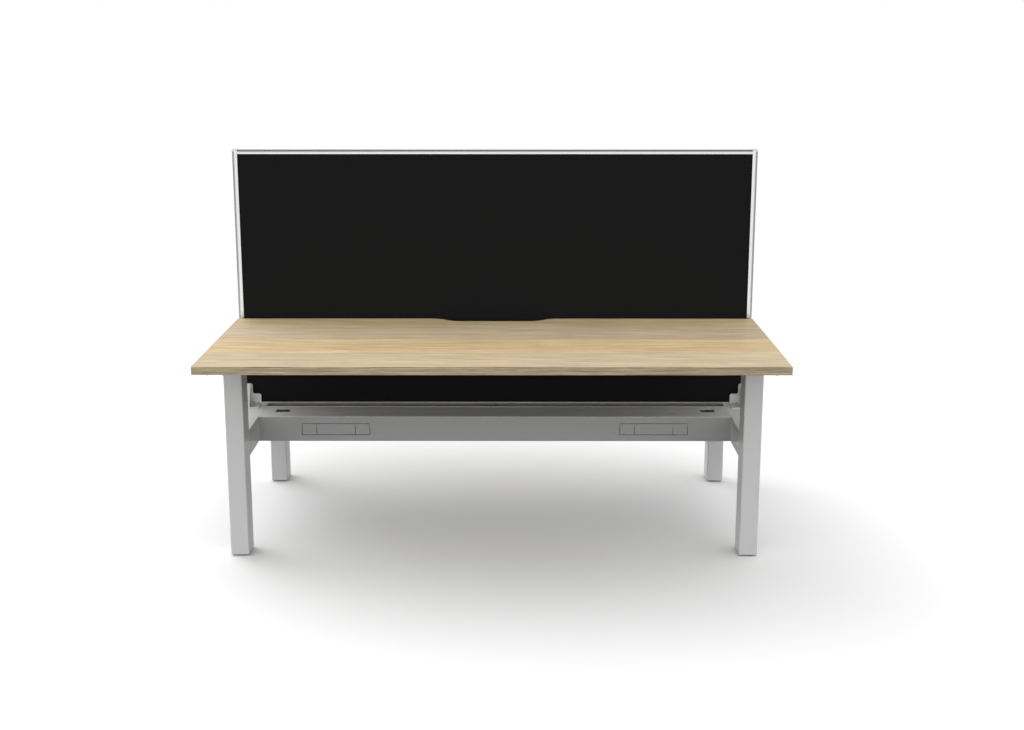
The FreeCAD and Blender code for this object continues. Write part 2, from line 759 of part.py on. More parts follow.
def build_lids():
    """Hinged lids: a sheet with a curl round the hinge rod and a lip inside the tray wall."""
    end = f"({LEG_IN} - tray_end_plate - lid_end_gap)"
    x = (f"-{end}", end)
    corners = [
        (HINGE_Y, LID_UNDER),
        ("tray_half_depth", LID_UNDER),
        ("tray_half_depth", "rail_top"),
        (HINGE_Y, "rail_top"),
    ]
    top = extruded("lid_top", "YZ", corners, *x, [((2,), "lid_edge_round")])
    lip_face = "(tray_half_depth - tray_sheet - lid_flange_gap)"
    lip = box(
        "lid_lip", x, (f"{lip_face} - lid_sheet", lip_face), (f"{LID_UNDER} - lid_flange_drop", LID_UNDER),
    )
    curl = rod("lid_curl", "X", (HINGE_Y, HINGE_Z), "curl_radius", *x)
    sheet_metal = join("lid_sheet_metal", [top, lip, curl])
    tools = [rod(
        "lid_bore", "X", (HINGE_Y, HINGE_Z), "hinge_rod_radius + hinge_clearance",
        f"-{end} - overrun", f"{end} + overrun",
    )]
    for number, place in enumerate(SUPPORT_PLACES):
        reach = "(hinge_support_wide / 2 + hinge_support_play)"
        tools.append(box(
            f"lid_notch_{number}", (f"{place} - {reach}", f"{place} + {reach}"),
            (f"{HINGE_Y} - curl_radius - overrun", f"{HINGE_Y} + curl_radius + lid_sheet"),
            (f"{HINGE_Z} - curl_radius - overrun", f"{HINGE_Z} + curl_notch_rise"),
        ))
    outer = f"({LEG_IN} - cable_hole_margin_x)"
    near = f"({LID_BACK} + cable_hole_margin_y)"
    hole = box(
        "lid_cable_hole", (f"{outer} - cable_hole_wide", outer), (near, f"{near} + cable_hole_deep"),
        (f"{LID_UNDER} - overrun", "rail_top + overrun"),
    )
    tools += [hole, mirror("lid_cable_hole_image", hole, "X")]
    keep_front_rear(cut("lid", sheet_metal, tools), "tray_lid")

    hinge_rod = rod("hinge_rod_bar", "X", (HINGE_Y, HINGE_Z), "hinge_rod_radius", f"-{LEG_IN}", LEG_IN)
    keep_front_rear(hinge_rod, "hinge_rod")

    saddle = rod(
        "support_saddle", "X", (HINGE_Y, HINGE_Z), "hinge_rod_radius",
        f"-{LEG_IN} - overrun", f"{LEG_IN} + overrun",
    )
    supports = []
    for number, place in enumerate(SUPPORT_PLACES):
        post = box(
            f"support_post_{number}",
            (f"{place} - hinge_support_wide / 2", f"{place} + hinge_support_wide / 2"),
            (f"{HINGE_Y} - hinge_support_neck", f"{HINGE_Y} + hinge_support_neck"),
            (TRAY_FLOOR, f"{HINGE_Z} - hinge_rod_radius + hinge_support_neck / 2"),
        )
        foot = box(
            f"support_foot_{number}",
            (f"{place} - hinge_support_foot / 2", f"{place} + hinge_support_foot / 2"),
            (f"{HINGE_Y} - hinge_support_neck", f"{HINGE_Y} + hinge_support_neck"),
            (TRAY_FLOOR, f"{TRAY_FLOOR} + tray_sheet"),
        )
        supports.append(join(f"support_{number}", [post, foot]))
    keep_front_rear(cut("supports", group("support_set", supports), [saddle]), "hinge_supports")


FRAME_END = "(desk_width / 2)"
POST_IN = f"({FRAME_END} - frame_wide)"
POST_TOP = f"({SCREEN_TOP} - cap_tall)"
CORE_FACE = "(core_thickness / 2)"
FACE_SCREW_Z = "(rail_top + bracket_sheet + small_head_radius + seat_clearance)"


def build_screen():
    """An aluminium frame around a core board with fabric on both faces."""
    faces = (f"-{SCREEN_FACE}", SCREEN_FACE)
    corners = [
        (POST_IN, faces[0]), (FRAME_END, faces[0]), (FRAME_END, faces[1]), (POST_IN, faces[1]),
    ]
    outside = extruded("post_outside", "XY", corners, SCREEN_LOW, POST_TOP, [((1, 2), "frame_round")])
    groove_y = (f"-{CORE_FACE} - core_clearance", f"{CORE_FACE} + core_clearance")
    groove = box(
        "post_groove", (f"{POST_IN} - overrun", f"{POST_IN} + groove_deep"), groove_y,
        (f"{SCREEN_LOW} - overrun", f"{POST_TOP} + overrun"),
    )
    chamber = box(
        "post_chamber", (f"{POST_IN} + groove_deep + frame_wall", f"{FRAME_END} - frame_wall"),
        (f"{faces[0]} + frame_round", f"{faces[1]} - frame_round"),
        (f"{SCREEN_LOW} - overrun", f"{POST_TOP} + overrun"),
    )
    keep_left_right(cut("post", outside, [groove, chamber]), "screen_post")

    rail_x = (f"-{POST_IN}", POST_IN)
    rail_low = f"({SCREEN_TOP} - top_rail_tall)"
    corners = [
        (faces[0], rail_low), (faces[1], rail_low), (faces[1], SCREEN_TOP), (faces[0], SCREEN_TOP),
    ]
    top_out = extruded("top_rail_outside", "YZ", corners, *rail_x, [((2, 3), "frame_round")])
    top_groove = box(
        "top_rail_groove", (f"{rail_x[0]} - overrun", f"{rail_x[1]} + overrun"), groove_y,
        (f"{rail_low} - overrun", f"{rail_low} + groove_deep"),
    )
    keep(cut("top_rail", top_out, [top_groove]), "screen_top_rail")

    bottom_top = f"({SCREEN_LOW} + bottom_rail_tall)"
    corners = [
        (faces[0], SCREEN_LOW), (faces[1], SCREEN_LOW), (faces[1], bottom_top), (faces[0], bottom_top),
    ]
    bottom_out = extruded(
        "bottom_rail_outside", "YZ", corners, *rail_x, [((2, 3), "bottom_rail_round")],
    )
    bottom_groove = box(
        "bottom_rail_groove", (f"{rail_x[0]} - overrun", f"{rail_x[1]} + overrun"), groove_y,
        (f"{bottom_top} - groove_deep", f"{bottom_top} + overrun"),
    )
    half = holes(
        "bottom_rail_hole", "Y", BRACKET_FACE_SCREWS, "small_screw_radius + bolt_clearance",
        f"{CORE_FACE} - overrun", f"{SCREEN_FACE} + overrun",
    )
    quarter = join("bottom_rail_quarter", half)
    keep(
        cut("bottom_rail", bottom_out, [bottom_groove] + mirrored_four(quarter, "bottom_rail_holes")),
        "screen_bottom_rail",
    )

    slack = "core_clearance"
    core_x = f"({POST_IN} + groove_deep - {slack})"
    core_z = (f"{bottom_top} - groove_deep + {slack}", f"{rail_low} + groove_deep - {slack}")
    core = box("core", (f"-{core_x}", core_x), (f"-{CORE_FACE}", CORE_FACE), core_z)
    keep(core, "screen_core")

    skin_x = f"({POST_IN} - {slack})"
    skin = box(
        "skin", (f"-{skin_x}", skin_x), (CORE_FACE, f"{CORE_FACE} + fabric_thickness"),
        (f"{bottom_top} + {slack}", f"{rail_low} - {slack}"),
    )
    keep_front_rear(skin, "screen_fabric")

    corners = [
        (POST_IN, POST_TOP), (FRAME_END, POST_TOP), (FRAME_END, f"{SCREEN_TOP} + cap_proud"),
        (POST_IN, f"{SCREEN_TOP} + cap_proud"),
    ]
    head = extruded("cap_head", "XZ", corners, *faces, [((2, 3), "cap_round")])
    margin = "(frame_wall + seat_clearance)"
    side = f"({SCREEN_FACE} - frame_round - seat_clearance)"
    tongue = box(
        "cap_tongue_block",
        (f"{POST_IN} + groove_deep + {margin}", f"{FRAME_END} - {margin}"), (f"-{side}", side),
        (f"{POST_TOP} - cap_tongue", POST_TOP),
    )
    keep_left_right(join("cap", [head, tongue]), "screen_cap")


BRACKET_FACE_SCREWS = [
    (f"({BRACKET_IN} + {share} * ({BRACKET_WEB} - {BRACKET_IN}))", FACE_SCREW_Z)
    for share in ("face_screw_near_share", "face_screw_far_share")
]


def build_brackets():
    """Folded brackets: a stepped plate on the screen, a gusset, a sloping flange and a base."""
    near = SCREEN_FACE
    plate_face = f"({near} + bracket_sheet)"
    base_top = "(rail_top + bracket_sheet)"
    low_top = "(rail_top + bracket_low_rise)"
    high_top = "(rail_top + bracket_high_rise)"
    top_reach = f"({near} + bracket_top_deep)"
    step = f"({LEG_OUT} - bracket_step_wide)"
    outer = f"({LEG_OUT} + bracket_overhang)"
    corners = [
        (BRACKET_IN, "rail_top"),
        (outer, "rail_top"),
        (outer, high_top),
        (step, high_top),
        (step, low_top),
        (BRACKET_IN, low_top),
    ]
    plate = extruded(
        "bracket_plate", "XZ", corners, near, plate_face,
        [((3, 4, 5), "bracket_round")],
    )
    base = box(
        "bracket_base", (BRACKET_IN, LEG_OUT), (near, BRACKET_FOOT), ("rail_top", base_top),
    )
    corners = [
        (near, "rail_top"),
        (BRACKET_FOOT, "rail_top"),
        (BRACKET_FOOT, base_top),
        (top_reach, high_top),
        (near, high_top),
    ]
    web = extruded("bracket_gusset", "YZ", corners, BRACKET_WEB, f"{BRACKET_WEB} + bracket_sheet")
    corners = [
        (f"{BRACKET_FOOT} - bracket_sheet", base_top),
        (BRACKET_FOOT, base_top),
        (top_reach, high_top),
        (f"{top_reach} - bracket_sheet", high_top),
    ]
    edge = extruded("bracket_edge", "YZ", corners, BRACKET_WEB, outer)
    whole = join("bracket_whole", [plate, base, web, edge])
    tools = holes(
        "bracket_base_hole", "Z", BRACKET_BASE_SCREWS, "small_screw_radius + bolt_clearance",
        "rail_top - overrun", f"{base_top} + overrun",
    )
    tools += holes(
        "bracket_face_hole", "Y", BRACKET_FACE_SCREWS, "small_screw_radius + bolt_clearance",
        f"{near} - overrun", f"{plate_face} + overrun",
    )
    hole_x = f"({BRACKET_WEB} + bracket_sheet + bracket_hole_margin)"
    tools.append(rod(
        "bracket_edge_hole", "Y", (hole_x, "(rail_top + bracket_hole_rise)"), "bracket_hole_radius",
        f"{plate_face} + bracket_sheet", f"{BRACKET_FOOT} + overrun",
    ))
    keep_four(cut("bracket", whole, tools), "screen_bracket")


def bolt(label, axis, place, shank, heads, radius, head_radius):
    """A shank along one axis with a head, and a nut where there is one; each is a pair of ends."""
    parts = [rod(label + "_shank", axis, place, radius, *shank)]
    parts += [rod(f"{label}_head_{n}", axis, place, head_radius, *head) for n, head in enumerate(heads)]
    return join(label, parts)


def keep_set(quarter, label):
    """One node of identical fasteners: those of the rear right quarter and their images."""
    quarter = group(label + "_quarter", quarter)
    keep(group(label + "_set", mirrored_four(quarter, label)), label)


def build_fasteners():
    """Bolts and screws, each kind in one node."""
    floor = f"({LEG_TOP} + arm_wall)"
    quarter = []
    for number, place in enumerate(LEG_BOLTS):
        quarter.append(bolt(
            f"leg_bolt_{number}", "Z", place, (f"{LEG_TOP} - leg_cap", floor),
            [(floor, f"{floor} + bolt_head")], "bolt_radius", "bolt_head_radius",
        ))
    keep_set(quarter, "leg_bolts")

    plate_in = f"({LEG_NEAR} - rail_end_plate)"
    wall_in = f"({LEG_NEAR} + leg_wall)"
    plate_out = f"({wall_in} + nut_plate)"
    quarter = []
    for number, place in enumerate(RAIL_BOLTS):
        quarter.append(bolt(
            f"rail_bolt_{number}", "Y", place, (plate_in, plate_out),
            [(f"{plate_in} - bolt_head", plate_in)], "bolt_radius", "bolt_head_radius",
        ))
    keep_set(quarter, "rail_bolts")

    margin = "(leg_wall + leg_corner)"
    blank = box(
        "nut_plate_blank", (f"{LEG_IN} + {margin}", f"{LEG_OUT} - {margin}"), (wall_in, plate_out),
        (RAIL_LOW, "rail_top"),
    )
    nut_plate = cut("nut_plate_block", blank, holes(
        "nut_plate_hole", "Y", RAIL_BOLTS, "bolt_radius + bolt_clearance",
        f"{wall_in} - overrun", f"{plate_out} + overrun",
    ))
    keep_set([nut_plate], "leg_nut_plates")

    arm_face = f"({LEG_MID} - arm_wide / 2)"
    plate_face = f"({arm_face} - beam_plate)"
    arm_in = f"({arm_face} + arm_wall)"
    quarter = []
    for number, place in enumerate(BEAM_BOLTS):
        quarter.append(bolt(
            f"beam_bolt_{number}", "X", place, (plate_face, f"{arm_in} + nut"),
            [(f"{plate_face} - bolt_head", plate_face), (arm_in, f"{arm_in} + nut")],
            "bolt_radius", "bolt_head_radius",
        ))
    keep_set(quarter, "beam_bolts")

    rail_in = f"({LEG_IN} + rail_wall)"
    quarter = []
    for number, place in enumerate(TRAY_BOLTS):
        quarter.append(bolt(
            f"tray_bolt_{number}", "X", place, (TRAY_END, f"{rail_in} + nut"),
            [(f"{TRAY_END} - bolt_head", TRAY_END), (rail_in, f"{rail_in} + nut")],
            "bolt_radius", "bolt_head_radius",
        ))
    keep_set(quarter, "tray_bolts")

    under = f"({DESK_UNDER} - arm_wall)"
    quarter = []
    for number, place in enumerate(DESK_SCREW_PLACES):
        quarter.append(bolt(
            f"desk_screw_{number}", "Z", (LEG_MID, place), (under, f"{DESK_UNDER} + desk_screw_length"),
            [(f"{under} - screw_head", under)], "screw_radius", "screw_head_radius",
        ))
    keep_set(quarter, "desk_screws")

    cover_screw = bolt(
        "cover_screw", "X", COVER_SCREW,
        (LEG_IN, f"{LEG_IN} + 2 * rail_wall"), [(f"{LEG_IN} - small_head", LEG_IN)],
        "small_screw_radius", "small_head_radius",
    )
    keep_set([cover_screw], "cover_screws")

    roof = "(rail_top - rail_wall)"
    plate_face = f"({SCREEN_FACE} + bracket_sheet)"
    quarter = []
    for number, place in enumerate(BRACKET_BASE_SCREWS):
        quarter.append(bolt(
            f"base_screw_{number}", "Z", place, (roof, "rail_top + bracket_sheet"),
            [(f"{roof} - small_head", roof)], "small_screw_radius", "small_head_radius",
        ))
    for number, place in enumerate(BRACKET_FACE_SCREWS):
        quarter.append(bolt(
            f"face_screw_{number}", "Y", place, (f"{CORE_FACE} + core_clearance", plate_face),
            [(plate_face, f"{plate_face} + small_head")], "small_screw_radius", "small_head_radius",
        ))
    keep_set(quarter, "bracket_screws")


build_desktops()
build_legs()
build_feet()
build_arms()
build_beams()
build_rails()
build_tray()
build_lids()
build_screen()
build_brackets()
build_fasteners()
doc.recompute()

for item in doc.Objects:
    if {"Invalid", "Error"} & set(item.State):
        raise RuntimeError(f"{item.Label} failed: {item.State}")
os.makedirs("parts", exist_ok=True)
for piece in pieces:
    if piece.Shape.isNull() or not piece.Shape.isValid():
        raise RuntimeError(f"{piece.Label} has a bad shape")
    piece.Shape.exportStep(f"parts/{piece.Label}.step")
    print(f"{piece.Label}: {len(piece.Shape.Solids)} solids, {piece.Shape.Volume:.0f} mm3")
print(len(pieces), "nodes")
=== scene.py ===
import json
import math
import bpy
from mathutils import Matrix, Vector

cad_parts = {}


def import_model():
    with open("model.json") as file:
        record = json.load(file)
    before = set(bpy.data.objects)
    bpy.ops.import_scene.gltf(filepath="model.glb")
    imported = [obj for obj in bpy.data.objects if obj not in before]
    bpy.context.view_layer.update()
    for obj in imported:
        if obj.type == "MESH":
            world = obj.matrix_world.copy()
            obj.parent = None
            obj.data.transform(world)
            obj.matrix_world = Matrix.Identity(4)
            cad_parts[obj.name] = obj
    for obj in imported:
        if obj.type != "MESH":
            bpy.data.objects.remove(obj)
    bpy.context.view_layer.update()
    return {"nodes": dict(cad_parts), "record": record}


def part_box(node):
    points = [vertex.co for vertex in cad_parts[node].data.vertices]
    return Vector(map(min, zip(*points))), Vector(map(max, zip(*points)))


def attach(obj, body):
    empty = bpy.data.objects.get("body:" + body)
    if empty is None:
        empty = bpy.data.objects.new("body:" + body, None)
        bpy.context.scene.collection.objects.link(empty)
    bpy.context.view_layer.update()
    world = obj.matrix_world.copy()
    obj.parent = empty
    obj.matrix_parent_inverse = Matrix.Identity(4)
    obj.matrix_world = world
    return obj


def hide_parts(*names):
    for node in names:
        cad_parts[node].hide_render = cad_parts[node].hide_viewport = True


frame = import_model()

# Back-to-back workstation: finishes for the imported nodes, the two stretched screen fabrics,
# a pale floor, soft light and the photograph's camera.
# Lengths are in metres, X along the desks, Y from the front desk to the rear, Z up.
# Angles are in degrees, and the camera's lens and sensor in millimetres.
# A grain's counts say how many of its features pass in a metre along X, Y and Z.


# shader nodes

MIX_SOCKETS = {"FLOAT": "VALUE", "VECTOR": "VECTOR", "RGBA": "RGBA"}
WIDE_NOISE = (0.3, 0.7)
TIGHT_NOISE = (0.33, 0.67)
WHITE = (1, 1, 1)


def material(name, **sockets):
    """A principled material, with its constant sockets set by name."""
    made = bpy.data.materials.new(name)
    made.use_nodes = True
    shader = made.node_tree.nodes["Principled BSDF"]
    for socket, value in sockets.items():
        shader.inputs[socket.replace("_", " ")].default_value = value
    return made


def feed(made, value, socket):
    """Links another node's output to a socket, or sets the socket to a value or a colour."""
    if isinstance(value, bpy.types.NodeSocket):
        made.node_tree.links.new(value, socket)
    elif socket.type == "RGBA":
        socket.default_value = (*value, 1)
    else:
        socket.default_value = value


def add(made, kind, **inputs):
    """A node of a kind, whose inputs are values or the outputs of other nodes."""
    made_node = made.node_tree.nodes.new(kind)
    for name, value in inputs.items():
        feed(made, value, made_node.inputs[name.replace("_", " ")])
    return made_node


def worked_out(made, kind, operation, values):
    """The outputs of a node that works its inputs into a result."""
    worked = made.node_tree.nodes.new(kind)
    worked.operation = operation
    for socket, value in zip(worked.inputs, values):
        feed(made, value, socket)
    return worked.outputs


def math_node(made, operation, *values):
    return worked_out(made, "ShaderNodeMath", operation, values)["Value"]


def vector_node(made, operation, result, *values):
    return worked_out(made, "ShaderNodeVectorMath", operation, values)[result]


def object_place(made):
    return add(made, "ShaderNodeTexCoord").outputs["Object"]


def axes_of(made, vector):
    return add(made, "ShaderNodeSeparateXYZ", Vector=vector).outputs


def grain(made, counts, detail, roughness=0.5, distortion=0.0, place=None):
    """Noise whose features are counted along each axis, or alike along all three."""
    if isinstance(counts, float):
        counts = (counts,) * 3
    if place is None:
        place = object_place(made)
    scaled = add(made, "ShaderNodeMapping", Vector=place, Scale=counts).outputs["Vector"]
    noise = add(
        made, "ShaderNodeTexNoise", Vector=scaled, Scale=1.0, Detail=detail,
        Roughness=roughness, Distortion=distortion,
    )
    return noise.outputs["Fac"]


def between(made, value, span, results=(0.0, 1.0)):
    """A value's place in a span, moved to the same place between two results."""
    ranged = add(
        made, "ShaderNodeMapRange", Value=value,
        **{"From Min": span[0], "From Max": span[1], "To Min": results[0], "To Max": results[1]},
    )
    return ranged.outputs["Result"]


def ramp(made, value, *stops):
    """Colours along a value; each stop is a place from 0 to 1 and a colour."""
    bands = add(made, "ShaderNodeValToRGB", Fac=value)
    elements = bands.color_ramp.elements
    for element, (place, colour) in zip(elements, stops):
        element.position = place
        element.color = (*colour, 1)
    for place, colour in stops[len(elements):]:
        elements.new(place).color = (*colour, 1)
    return bands.outputs["Color"]


def shaded(made, value, dark, light):
    """A colour from dark to light, over the values that a noise mostly has."""
    return ramp(made, between(made, value, WIDE_NOISE), (0.0, dark), (1.0, light))


def mixed(made, kind, share, first, second, blend="MIX"):
    """Two numbers, vectors or colours, mixed by a share."""
    mixer = made.node_tree.nodes.new("ShaderNodeMix")
    mixer.data_type = kind
    mixer.blend_type = blend
    feed(made, share, mixer.inputs["Factor"])
    sockets = {socket.name: socket for socket in mixer.inputs if socket.type == MIX_SOCKETS[kind]}
    feed(made, first, sockets["A"])
    feed(made, second, sockets["B"])
    return [socket for socket in mixer.outputs if socket.type == MIX_SOCKETS[kind]][0]


def finished(made, colour, roughness, height=None, height_share=0.0, depth=0.0):
    """Gives a material its colour and roughness, and its relief where it has one."""
    shader = made.node_tree.nodes["Principled BSDF"]
    feed(made, colour, shader.inputs["Base Color"])
    feed(made, roughness, shader.inputs["Roughness"])
    if height is not None:
        bump = add(made, "ShaderNodeBump", Height=height, Strength=height_share, Distance=depth)
        feed(made, bump.outputs["Normal"], shader.inputs["Normal"])
    return made


# oak laminate

PLANK_START = -0.792
PLANK_PERIOD = 0.848
# The plank tones hold painted light across the desk's depth: the golden and grey zones are brightened
# more than the light one, and the dull zone is the golden tone darkened as painted shade, for the
# light falling off towards the screen.
OAK_LIGHT = (0.655, 0.525, 0.355)
OAK_GOLD = (0.722, 0.525, 0.283)
OAK_GREY = (0.625, 0.498, 0.338)
OAK_DULL_SHADED = (0.672, 0.502, 0.262)
OAK_BLEND = (0.636, 0.507, 0.318)
OAK_PORE = (0.30, 0.23, 0.15)
PLANK_SHARES = (
    (0.0, OAK_LIGHT), (0.235, OAK_LIGHT), (0.26, OAK_GOLD), (0.485, OAK_GOLD),
    (0.515, OAK_GREY), (0.745, OAK_GREY), (0.775, OAK_DULL_SHADED), (0.985, OAK_DULL_SHADED), (1.0, OAK_LIGHT),
)
WANDER = 0.008
WANDER_GRAIN = dict(counts=(1.3, 3.0, 3.0), detail=2.0)
PATCH_GRAIN = dict(counts=(0.8, 7.0, 7.0), detail=2.0)
PATCH_NOISE = (0.35, 0.7)
PATCH_SHARE = 0.6
LONG_STREAK_GRAIN = dict(counts=(0.7, 34.0, 34.0), detail=2.0)
LONG_STREAK_TONES = (0.95, 1.10)
STREAK_GRAIN = dict(counts=(4.5, 85.0, 85.0), detail=4.0, roughness=0.72)
STREAK_TONES = (0.76, 1.18)
FIBRE_GRAIN = dict(counts=(12.0, 420.0, 420.0), detail=3.0, roughness=0.6)
FIBRE_TONES = (0.82, 1.16)
PORE_GRAIN = dict(counts=(26.0, 1300.0, 1300.0), detail=1.0, roughness=0.4)
PORE_NOISE = (0.64, 0.70)
PORE_COLOUR_SHARE = 0.35
PORE_DEPTH_SHARE = 0.8
OAK_ROUGHNESS = (0.5, 0.4)
OAK_RELIEF = dict(height_share=0.25, depth=0.0002)


def oak_laminate():
    """Pale oak planks side by side along the desk, two golden and two greyer in every four,
    with long streaks, finer fibres and short dark pores; the middle planks are brightened as painted
    light, and the dull one darkened as painted shade."""
    made = material("oak_laminate")
    place = object_place(made)
    wander = grain(made, **WANDER_GRAIN, place=place)
    wander = between(made, wander, WIDE_NOISE, (-WANDER, WANDER))
    offset = add(made, "ShaderNodeCombineXYZ", Y=wander).outputs["Vector"]
    wavy = vector_node(made, "ADD", "Vector", place, offset)
    across = math_node(made, "SUBTRACT", axes_of(made, wavy)["Y"], PLANK_START)
    plank = math_node(made, "FRACT", math_node(made, "DIVIDE", across, PLANK_PERIOD))
    # The plank colours carry painted light and painted shade across the desk's depth, besides the real
    # tones of the zones.
    base = ramp(made, plank, *PLANK_SHARES)
    patches = grain(made, **PATCH_GRAIN, place=wavy)
    patch = between(made, patches, PATCH_NOISE, (0.0, PATCH_SHARE))
    base = mixed(made, "RGBA", patch, base, OAK_BLEND)
    long_streaks = grain(made, **LONG_STREAK_GRAIN, place=wavy)
    streaks = grain(made, **STREAK_GRAIN, place=wavy)
    fibres = grain(made, **FIBRE_GRAIN, place=wavy)
    tone = between(made, long_streaks, TIGHT_NOISE, LONG_STREAK_TONES)
    tone = math_node(made, "MULTIPLY", tone, between(made, streaks, TIGHT_NOISE, STREAK_TONES))
    tone = math_node(made, "MULTIPLY", tone, between(made, fibres, TIGHT_NOISE, FIBRE_TONES))
    grey = add(made, "ShaderNodeCombineColor", Red=tone, Green=tone, Blue=tone).outputs["Color"]
    base = mixed(made, "RGBA", 1.0, base, grey, "MULTIPLY")
    pore = between(made, grain(made, **PORE_GRAIN, place=wavy), PORE_NOISE)
    base = mixed(made, "RGBA", math_node(made, "MULTIPLY", pore, PORE_COLOUR_SHARE), base, OAK_PORE)
    relief = math_node(made, "SUBTRACT", fibres, math_node(made, "MULTIPLY", pore, PORE_DEPTH_SHARE))
    roughness = between(made, streaks, WIDE_NOISE, OAK_ROUGHNESS)
    return finished(made, base, roughness, relief, **OAK_RELIEF)


# oak edge band

BAND_DARK = (0.235, 0.175, 0.105)
BAND_MIDDLE = (0.455, 0.355, 0.228)
BAND_LIGHT = (0.665, 0.54, 0.365)
BAND_FIBRE = (0.25, 0.19, 0.125)
BAND_LINE_GRAIN = dict(counts=(6.5, 360.0, 360.0), detail=3.0, roughness=0.7)
BAND_LINE_NOISE = (0.32, 0.68)
BAND_FIBRE_GRAIN = dict(counts=(24.0, 800.0, 800.0), detail=2.0, roughness=0.6)
BAND_FIBRE_NOISE = (0.48, 0.66)
BAND_FIBRE_SHARE = 0.5
BAND_ROUGHNESS = (0.55, 0.45)
BAND_RELIEF = dict(height_share=0.2, depth=0.0002)
END_FACING = 0.7


def oak_edge_band():
    """The band's printed grain runs round the board, so it follows each side."""
    made = material("oak_edge_band")
    place = object_place(made)
    axes = axes_of(made, place)
    facing = axes_of(made, add(made, "ShaderNodeNewGeometry").outputs["Normal"])
    end = math_node(made, "GREATER_THAN", math_node(made, "ABSOLUTE", facing["X"]), END_FACING)
    swapped = add(made, "ShaderNodeCombineXYZ", X=axes["Y"], Y=axes["X"], Z=axes["Z"])
    along = mixed(made, "VECTOR", end, place, swapped.outputs["Vector"])
    lines = grain(made, **BAND_LINE_GRAIN, place=along)
    fibres = grain(made, **BAND_FIBRE_GRAIN, place=along)
    base = ramp(
        made, between(made, lines, BAND_LINE_NOISE),
        (0.0, BAND_DARK), (0.5, BAND_MIDDLE), (1.0, BAND_LIGHT),
    )
    dark = between(made, fibres, BAND_FIBRE_NOISE, (0.0, BAND_FIBRE_SHARE))
    base = mixed(made, "RGBA", dark, base, BAND_FIBRE)
    roughness = between(made, lines, WIDE_NOISE, BAND_ROUGHNESS)
    return finished(made, base, roughness, fibres, **BAND_RELIEF)


# coated, anodised and plated metal

COAT_METALLIC_SHARE = 0.03
COAT_SPECULAR = 0.04
COAT_PEEL_GRAIN = dict(counts=700.0, detail=2.0)
COAT_FLAKE_GRAIN = dict(counts=2600.0, detail=1.0)
COAT_SMUDGE_GRAIN = dict(counts=(5.0, 5.0, 4.0), detail=3.0, roughness=0.55, distortion=0.4)
COAT_SMUDGE_NOISE = (0.35, 0.65)
COAT_ROUGHNESS = (0.27, 0.38)
COAT_RELIEF = dict(height_share=0.05, depth=0.0002)
ANODISED_METALLIC_SHARE = 0.95
ANODISED_DARK = (0.80,) * 3
ANODISED_LIGHT = (0.88,) * 3
ANODISED_ROUGHNESS = (0.18, 0.27)
ANODISED_RELIEF = dict(height_share=0.05, depth=0.0001)
DIE_LINE_COUNT = 900.0
DIE_LENGTH_COUNT = 3.0
DIE_LINES = dict(detail=2.0, roughness=0.6)
PLATE_CLOUD_GRAIN = dict(counts=140.0, detail=3.0, roughness=0.6)
PLATE_ROUGHNESS_SPREAD = 0.07


def powder_coat(name, dark, light):
    """Satin powder coat: a fine orange peel, small flakes and a few handling smudges."""
    made = material(name, Metallic=COAT_METALLIC_SHARE, Specular_IOR_Level=COAT_SPECULAR)
    flakes = grain(made, **COAT_FLAKE_GRAIN)
    smudges = grain(made, **COAT_SMUDGE_GRAIN)
    base = shaded(made, flakes, (dark,) * 3, (light,) * 3)
    roughness = between(made, smudges, COAT_SMUDGE_NOISE, COAT_ROUGHNESS)
    return finished(made, base, roughness, grain(made, **COAT_PEEL_GRAIN), **COAT_RELIEF)


def anodised(name, along):
    """Satin anodised extrusion, with faint die lines along its length."""
    made = material(name, Metallic=ANODISED_METALLIC_SHARE)
    counts = [DIE_LINE_COUNT] * 3
    counts["XYZ".index(along)] = DIE_LENGTH_COUNT
    lines = grain(made, counts, **DIE_LINES)
    base = shaded(made, lines, ANODISED_DARK, ANODISED_LIGHT)
    roughness = between(made, lines, WIDE_NOISE, ANODISED_ROUGHNESS)
    return finished(made, base, roughness, lines, **ANODISED_RELIEF)


def plated(name, roughness, dark, light):
    """Zinc plating, slightly cloudy, or a black one, which on the feet is painted shade."""
    made = material(name, Metallic=1.0)
    clouds = grain(made, **PLATE_CLOUD_GRAIN)
    spread = (roughness - PLATE_ROUGHNESS_SPREAD, roughness + PLATE_ROUGHNESS_SPREAD)
    return finished(made, shaded(made, clouds, dark, light), between(made, clouds, WIDE_NOISE, spread))


# cloth, plastic and board

THREAD_PITCH = 0.0016
WEAVE_SHARE = 0.45
HEATHER_SHARE = 0.55
HEATHER_GRAIN = dict(counts=1400.0, detail=1.0)
SLUB_GRAIN = dict(counts=(60.0, 60.0, 700.0), detail=2.0, roughness=0.6)
CLOTH_SPECULAR = 0.12
CLOTH_SHEEN = 0.03
CLOTH_DARK = (0.005, 0.0052, 0.0055)
CLOTH_MIDDLE = (0.0086, 0.009, 0.0095)
CLOTH_LIGHT = (0.0136, 0.0142, 0.0149)
CLOTH_ROUGHNESS = (0.84, 0.96)
CLOTH_RELIEF = dict(height_share=0.35, depth=0.0003)
SPARK_GRAIN = dict(counts=1100.0, detail=2.0, roughness=0.6)
SPARK_ROUGHNESS_SPREAD = 0.06
SPARK_RELIEF = dict(height_share=0.12, depth=0.0002)
BOARD_GRAIN = dict(counts=300.0, detail=4.0, roughness=0.7)
BOARD_DARK = (0.33, 0.26, 0.17)
BOARD_LIGHT = (0.47, 0.38, 0.26)
BOARD_ROUGHNESS = 0.9
BOARD_RELIEF = dict(height_share=0.3, depth=0.0005)


